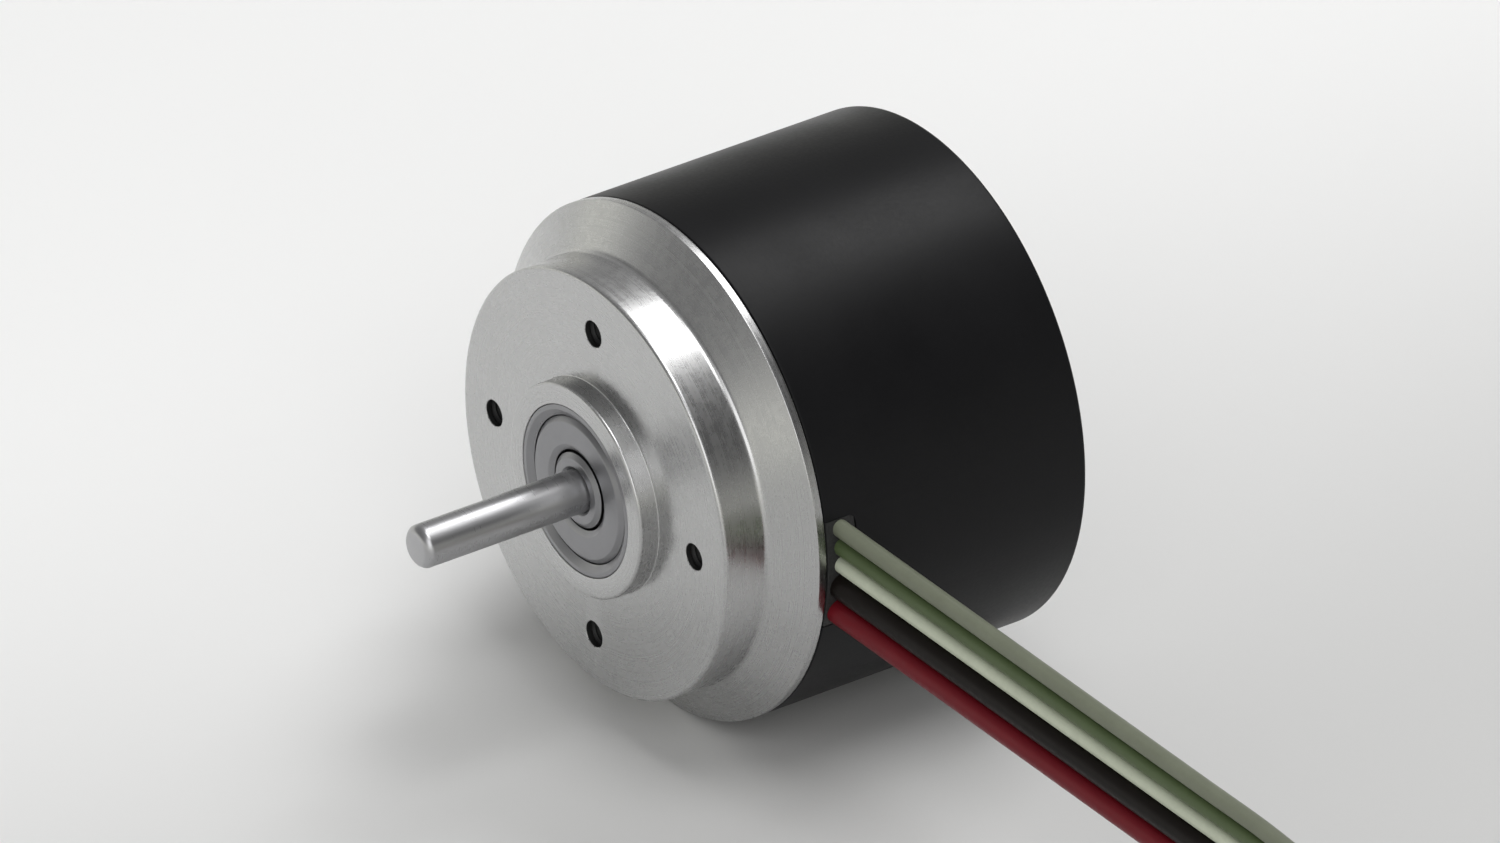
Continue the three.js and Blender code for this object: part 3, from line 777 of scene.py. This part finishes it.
def threaded_hole_tool(angle):
    """A cutter for one tapped hole: a broken edge, then the thread's grooves."""
    edge = 0.05
    outline = [(0, -1), (THREAD_MINOR_R + 1 + edge, -1), (THREAD_MINOR_R, edge)]
    depth = THREAD_PITCH
    outline.append((THREAD_MINOR_R, depth))
    while depth + THREAD_PITCH < FLOOR_END + 1:
        outline.append((THREAD_MAJOR_R, depth + THREAD_PITCH / 2))
        outline.append((THREAD_MINOR_R, depth + THREAD_PITCH))
        depth += THREAD_PITCH
    outline.append((0, depth))
    return lathe_mesh("thread_tool", outline, 32, on_circle(MOUNT_CIRCLE_R, angle), True)


def pin_tool(radius, start, end, angle):
    """A plain round cutter on the circle of the through bolts."""
    outline = [(0, start), (radius, start), (radius, end), (0, end)]
    return lathe_mesh("pin_tool", outline, 32, on_circle(BOLT_CIRCLE_R, angle), True)


def slot_tool(inner_x, start, half_height, corner):
    """A cutter for the leads' way out, with rounded corners seen along X."""
    section = rounded_rectangle((SLOT_END - start) / 2, half_height, corner)
    middle = FACE_Y + (start + SLOT_END) / 2
    work = bmesh.new()
    near = [work.verts.new((inner_x, middle + u, SLOT_MIDDLE_Z + w)) for u, w in section]
    far = [work.verts.new((CAN_R + 3, middle + u, SLOT_MIDDLE_Z + w)) for u, w in section]
    work.faces.new(near)
    work.faces.new(far)
    for i in range(len(section)):
        n = (i + 1) % len(section)
        work.faces.new((near[i], near[n], far[n], far[i]))
    bmesh.ops.recalc_face_normals(work, faces=work.faces)
    mesh = bpy.data.meshes.new("slot_tool")
    work.to_mesh(mesh)
    work.free()
    return mesh


def front_end_bell():
    """The turned end: boss, disc, cone and rim, with the bearing's seat and the cavity."""
    outline = filleted(
        [
            (SEAT_R, -BOSS_OUT, 0.12),
            (BOSS_R, -BOSS_OUT, 0.3),
            (BOSS_R, 0, 0.12),
            (FACE_R, 0, 0.45),
            (FACE_R, CONE_START, 0.8),
            (CAN_R, RIM_START, 0.12),
            (CAN_R, RIM_END, 0.12),
            (SPIGOT_R, RIM_END, 0),
            (SPIGOT_R, SPIGOT_END, 0.2),
            (CAVITY_R, SPIGOT_END, 0.2),
            (CAVITY_R, FLOOR_END, 0.5),
            (SHOULDER_R, FLOOR_END, 0.2),
            (SHOULDER_R, SEAT_END, 0.1),
            (SEAT_R, SEAT_END, 0),
        ],
        5,
    )
    tools = [threaded_hole_tool(k * TURN / MOUNT_HOLE_COUNT) for k in range(MOUNT_HOLE_COUNT)]
    for angle in BOLT_ANGLES:
        tools.append(pin_tool(BOLT_HOLE_R, BOLT_TIP - 0.3, SPIGOT_END + 1, angle))
    tools.append(slot_tool(CAVITY_R - 1, BELL_SLOT_START, BELL_SLOT_HALF_HEIGHT, 0.4))
    return cut(lathe_mesh("front_end_bell_shape", outline), tools)


def paint_hole_shade(bell):
    """Painted shade: the tapped holes' threads are coloured near black, standing in for the shade
    deep inside the holes.
    """
    bell.data.materials.append(HOLE_SHADE_FINISH)
    centres = []
    for k in range(MOUNT_HOLE_COUNT):
        x, z = on_circle(MOUNT_CIRCLE_R, k * TURN / MOUNT_HOLE_COUNT)
        centres.append(Vector((x, z)) * MM)
    for face in bell.data.polygons:
        place = Vector((face.center.x, face.center.z))
        inside = min((place - centre).length for centre in centres) < THREAD_MAJOR_R * MM
        if inside and face.center.y > (FACE_Y + 0.03) * MM:
            face.material_index = 1


def housing_can():
    """The black tube, with the leads' slot in its front edge."""
    start = RIM_END + GAP
    outline = filleted(
        [
            (CAN_R - 2, start, 0.1),
            (CAN_R, start, 0.15),
            (CAN_R, BODY_LENGTH, 0.35),
            (CAN_R - 2, BODY_LENGTH, 0.2),
        ],
        6,
    )
    tool = slot_tool(CAN_R - 4, start - 2, CAN_SLOT_HALF_HEIGHT, 0.8)
    return cut(lathe_mesh("housing_can_shape", outline), [tool])


def rear_end_cap():
    """The rear cover: a shallow ring groove, the shaft's hole and the rear bearing's seat."""
    outline = filleted(
        [
            (CAP_HOLE_R, CAP_END, 0.25),
            (CAP_GROOVE_INNER_R, CAP_END, 0.2),
            (CAP_GROOVE_INNER_R, CAP_END - CAP_GROOVE_DEPTH, 0.15),
            (CAP_GROOVE_OUTER_R, CAP_END - CAP_GROOVE_DEPTH, 0.15),
            (CAP_GROOVE_OUTER_R, CAP_END, 0.2),
            (SPIGOT_R, CAP_END, 0.4),
            (SPIGOT_R, CAP_START, 0.2),
            (CAP_SEAT_WALL_R, CAP_START, 0.3),
            (CAP_SEAT_WALL_R, CAP_BOSS_START, 0.3),
            (SEAT_R, CAP_BOSS_START, 0.2),
            (SEAT_R, CAP_SEAT_END, 0),
            (CAP_HOLE_R, CAP_SEAT_END, 0.1),
        ]
    )
    tools = [pin_tool(BOLT_HOLE_R, CAP_START - 1, CAP_END, angle) for angle in BOLT_ANGLES]
    for angle in BOLT_ANGLES:
        tools.append(pin_tool(BOLT_HEAD_HOLE_R, BOLT_HEAD_START - GAP, CAP_END + 1, angle))
    return cut(lathe_mesh("rear_end_cap_shape", outline), tools)


def through_bolt(angle):
    """A socket head screw: plain rim, rounded edge, hexagon socket."""
    head = BOLT_HEAD_END
    outline = [(0, BOLT_TIP), (BOLT_R - 0.25, BOLT_TIP), (BOLT_R, BOLT_TIP + 0.25)]
    outline += [(BOLT_R, BOLT_HEAD_START), (BOLT_HEAD_R, BOLT_HEAD_START)]
    outline += [(BOLT_HEAD_R, head - 0.25), (BOLT_HEAD_R - 0.07, head - 0.08)]
    outline += [(BOLT_HEAD_R - 0.22, head), (0, head)]
    centre = on_circle(BOLT_CIRCLE_R, angle)
    across = SOCKET_HALF_WIDTH / math.cos(math.pi / 6)
    socket = []
    for k in range(6):
        turn = angle + TURN * k / 6
        socket.append((centre[0] + across * math.cos(turn), centre[1] + across * math.sin(turn)))
    tool = prism_mesh("socket_tool", socket, head - SOCKET_DEPTH, head + 1)
    return cut(lathe_mesh("through_bolt_shape", outline, 48, centre, True), [tool])


bell = make("bell", front_end_bell(), "housing", "turned_aluminium", ["front_end_bell"])
# Painted shade inside the tapped holes.
paint_hole_shade(bell)
make("can", housing_can(), "housing", "can_coating", ["housing_can"])
make("rear_cap", rear_end_cap(), "housing", "turned_aluminium", ["rear_end_cap"])
for k, angle in enumerate(BOLT_ANGLES):
    name = f"through_bolt_{k + 1}"
    make(name + "_screw", through_bolt(angle), "housing", "plain_steel", [name])


# ------------------------------------------------------------------ bearings and shaft


def bearing(end, start):
    """A ball bearing's two rings, with a shield between them on each side."""
    stop = start + BEARING_WIDTH
    outer = [
        (OUTER_RING_BORE_R, start + 0.45, 0),
        (7.55, start, 0.2),
        (BEARING_R, start, 0.12),
        (BEARING_R, stop, 0.12),
        (7.55, stop, 0.2),
        (OUTER_RING_BORE_R, stop - 0.45, 0),
    ]
    inner = [
        (BEARING_BORE_R, start + 0.3, 0),
        (2.3, start, 0.15),
        (3.05, start, 0.15),
        (INNER_RING_R, start + 0.35, 0),
        (INNER_RING_R, stop - 0.35, 0),
        (3.05, stop, 0.15),
        (2.3, stop, 0.15),
        (BEARING_BORE_R, stop - 0.3, 0),
    ]
    for kind, corners, body in (("outer", outer, "housing"), ("inner", inner, "rotor")):
        ring = lathe_mesh(kind + "_ring_shape", filleted(corners, 5), FINE_STEPS)
        name = f"{end}_{kind}_ring"
        make(name, ring, body, "bearing_steel", [f"{end}_bearing_{kind}_ring"])
    shield = [
        (SHIELD_R, 0.66, 0.05),
        (SHIELD_R, 0.5, 0.04),
        (6.35, 0.12, 0.25),
        (4.3, 0.12, 0.2),
        (SHIELD_BORE_R, 0.42, 0.04),
        (SHIELD_BORE_R, 0.56, 0.04),
        (6.3, 0.66, 0.1),
    ]
    for side, face, inward in (("front", start, 1), ("rear", stop, -1)):
        profile = filleted([(r, face + inward * s, f) for r, s, f in shield], 3)
        plate = lathe_mesh("shield_shape", profile, FINE_STEPS)
        name = f"{end}_{side}_shield"
        make(name, plate, "housing", "bearing_steel", [f"{end}_bearing_{side}_shield"])


bearing("front", FRONT_BEARING)
bearing("rear", REAR_BEARING)


def shaft_mesh():
    """The shaft, with a rounded tip in front and the snap ring's groove behind."""
    tip = -SHAFT_OUT
    outline = [(0, tip), (1.35, tip), (1.48, tip + 0.04), (1.62, tip + 0.13), (1.78, tip + 0.28)]
    outline += [(1.9, tip + 0.44), (1.97, tip + 0.58), (SHAFT_R, tip + 0.75)]
    outline += [(SHAFT_R, RING_GROOVE_START), (RING_GROOVE_R, RING_GROOVE_START)]
    outline += [(RING_GROOVE_R, RING_GROOVE_END), (SHAFT_R, RING_GROOVE_END)]
    outline += [(SHAFT_R, 34.45), (SHAFT_R - 0.25, SHAFT_END), (0, SHAFT_END)]
    return lathe_mesh("shaft_shape", outline, FINE_STEPS, on_axis=True)


make("shaft_bar", shaft_mesh(), "rotor", "shaft_steel", ["shaft"])


def retaining_ring():
    """A snap ring with a gap and two lugs."""
    outer = [on_circle(SNAP_RING_R, math.radians(a)) for a in range(115, 426, 5)]
    inner = [on_circle(SNAP_RING_BORE_R, math.radians(a)) for a in range(425, 114, -5)]
    lug_a = [on_circle(SNAP_LUG_R, math.radians(a)) for a in (60, 52)]
    lug_b = [on_circle(SNAP_LUG_R, math.radians(a)) for a in (128, 120)]
    outline = lug_b[:1] + [on_circle(SNAP_LUG_ROOT_R, math.radians(136))] + outer[4:-4]
    outline += [on_circle(SNAP_LUG_ROOT_R, math.radians(44))] + lug_a[::-1] + inner + lug_b[1:]
    return prism_mesh("retaining_ring_shape", outline, SNAP_RING_START, SNAP_RING_END, 0.06)


make("snap_ring", retaining_ring(), "rotor", "plain_steel", ["retaining_ring"])


# ------------------------------------------------------------------ grommet, tie and tips


def grommet():
    """A rubber block that fills the slot round the leads."""
    low, high = math.radians(-14.7), math.radians(11.0)
    steps = 24
    angles = [low + (high - low) * i / steps for i in range(steps + 1)]
    outer = [on_circle(CAN_R - 0.06, angle) for angle in angles]
    inner = [on_circle(GROMMET_INNER_R, angle) for angle in reversed(angles)]
    return prism_mesh("grommet_shape", outer + inner, RIM_END + 0.2, SLOT_END - 0.06, 0.08)


make("grommet", grommet(), "housing", "rubber", ["lead_grommet"])


def lead_tie():
    """A cable tie round the coil's bundle, with its ratchet head and the cut tail."""
    above, beside = 0.4, 0.65
    top = OFFSETS[0] + SIGNAL_LEAD_R + above
    bottom = OFFSETS[-1] - POWER_LEAD_R - above
    outer = COIL_START_R + POWER_LEAD_R + beside
    inner = COIL_END_R - POWER_LEAD_R - beside
    x = COIL_CENTRE_X + (outer + inner) / 2
    middle = Vector((x, COIL_CENTRE_Y, COIL_Z + (top + bottom) / 2))
    half_width = (outer - inner) / 2
    loop = rounded_rectangle(half_width, (top - bottom) / 2, 1.2, 8)
    line = [middle + Vector((u, 0, w)) for u, w in loop]
    band = sweep_mesh("tie_shape", line, rounded_rectangle(1.25, 0.25, 0.12, 3), closed=True)
    tie = make("tie_band", band, "housing", "tie_nylon", ["lead_tie"])
    side = middle + Vector((half_width, 0, 1.5))
    low, high = side - Vector((0.7, 1.9, 1.5)), side + Vector((2.2, 1.9, 1.5))
    head = box_mesh("tie_head_shape", low, high, 0.35)
    hole = box_mesh("tie_hole", side + Vector((0.6, -1.1, -2)), side + Vector((1.2, 1.1, 2)), 0.05)
    tie_head = make("tie_head", cut(head, [hole]), "housing", "tie_nylon")
    low, high = side + Vector((0.7, -1.0, -2.4)), side + Vector((1.1, 1.0, 2.6))
    tie_tail = make("tie_tail", box_mesh("tie_tail_shape", low, high, 0.12), "housing", "tie_nylon")
    return [tie, tie_head, tie_tail]


def lead_tube(name, radius, line):
    """A lead's insulation: a round tube along its line. The white one also replaces the
    CAD's coil."""
    section = [
        (radius * math.cos(TURN * k / LEAD_SIDES), radius * math.sin(TURN * k / LEAD_SIDES))
        for k in range(LEAD_SIDES)
    ]
    shown = [name, "lead_coil"] if name == "lead_white" else [name]
    tube = sweep_mesh(name + "_shape", line, section)
    return make(name + "_cord", tube, "housing", name + "_skin", shown)


def tinned_tip(name, radius, height):
    """The bare end of a lead: seven tinned strands twisted together."""
    lobes = []
    count = 42
    for k in range(count):
        angle = TURN * k / count
        out = radius * (0.43 + 0.07 * abs(math.cos(3.5 * angle)))
        lobes.append((out * math.cos(angle), out * math.sin(angle)))
    steps = 24
    start = COIL_TURNS - 0.008
    end = COIL_TURNS + TIP_LENGTH / (TURN * COIL_END_R)
    line = [coil_point(start + (end - start) * i / steps, height) for i in range(steps + 1)]
    mesh = sweep_mesh(name + "_shape", line, lobes, twist=math.radians(7))
    mesh.materials.clear()
    mesh.materials.append(TINNED)
    return finish_mesh(name, mesh, "housing", sharp=50)


tie_pieces = lead_tie()
for (name, radius), offset in zip(LEADS, OFFSETS):
    line = lead_line(offset)
    lead = lead_tube(name, radius, line)
    tip = tinned_tip(name + "_tip", radius, COIL_Z + offset)


# ------------------------------------------------------------------ studio

BACK_LEFT = (-0.75, 0.58, 0.32)  # the direction of the lit wall
CEILING = (0.22, 0.06, 0.974)  # the direction of the lit part of the ceiling
LIGHTS_AIM = (0.0, 0.0, 0.02)  # the place that the softboxes face, in metres


def studio_walls():
    """The world: a bright, slightly warm band at the horizon, darker towards the back, a lit
    wall on the back left and a lit patch of ceiling."""
    world = bpy.data.worlds.new("studio")
    bpy.context.scene.world = world
    world.use_nodes = True
    tree = world.node_tree
    background = tree.nodes["Background"]

    def node(kind, *inputs, **settings):
        return add_node(tree, kind, *inputs, **settings)

    direction = node("TexCoord").outputs["Generated"]
    _, y, z = node("SeparateXYZ", direction).outputs
    ramp = node("ValToRGB", z)
    stops = [
        (0.0, 0.95),
        (0.13, 0.9),
        (0.21, 0.75),
        (0.28, 0.35),
        (0.4, 0.2),
        (0.7, 0.2),
        (1.0, 0.3),
    ]
    steps = ramp.color_ramp.elements
    steps.remove(steps[1])
    for position, value in stops[1:]:
        steps.new(position).color = (value, value, value, 1)
    steps[0].color = (stops[0][1], stops[0][1], stops[0][1], 1)
    front = node("MapRange", y, 0.0, 0.45, 1.15, 0.42).outputs[0]
    above = node("VectorMath", direction, CEILING, operation="DOT_PRODUCT").outputs["Value"]
    ceiling = node("MapRange", above, 0.95, 0.985, 0.0, 4.6).outputs[0]
    aside = node("VectorMath", direction, BACK_LEFT, operation="DOT_PRODUCT").outputs["Value"]
    wall = node("MapRange", aside, 0.6, 0.95, 0.0, 0.2, interpolation_type="SMOOTHSTEP").outputs[0]
    shade = node("Math", ramp.outputs[0], front, operation="MULTIPLY").outputs[0]
    lit = node("Math", shade, wall, operation="ADD").outputs[0]
    total = node("Math", lit, ceiling, operation="ADD").outputs[0]
    warmth = node("MapRange", z, 0.1, 0.3, 0.92, 1.0).outputs[0]
    blue = node("Math", total, warmth, operation="MULTIPLY").outputs[0]
    tree.links.new(node("CombineXYZ", total, total, blue).outputs[0], background.inputs[0])


def studio():
    """The floor, two softboxes and the walls."""
    bpy.ops.mesh.primitive_plane_add(size=20)
    floor = bpy.context.object
    floor.name = "floor"
    floor.data.materials.append(studio_floor())

    def softbox(name, direction, distance, size, power):
        """A lamp that faces the motor, and that the camera doesn't see."""
        data = bpy.data.lights.new(name, "AREA")
        data.shape = "RECTANGLE"
        data.size, data.size_y = size
        data.energy = power
        light = bpy.data.objects.new(name, data)
        bpy.context.collection.objects.link(light)
        away = Vector(direction).normalized()
        light.location = Vector(LIGHTS_AIM) + away * distance
        light.rotation_mode = "QUATERNION"
        light.rotation_quaternion = (-away).to_track_quat("-Z", "Y")
        light.visible_camera = False

    softbox("overhead", (-0.14, 0.5, 0.87), 0.9, (0.4, 0.36), 2.5)
    softbox("beside_camera", (0.68, -0.48, 0.54), 1.2, (0.85, 0.85), 3.8)
    studio_walls()
    bpy.context.scene.view_settings.view_transform = "Standard"


studio()

bpy.context.view_layer.update()
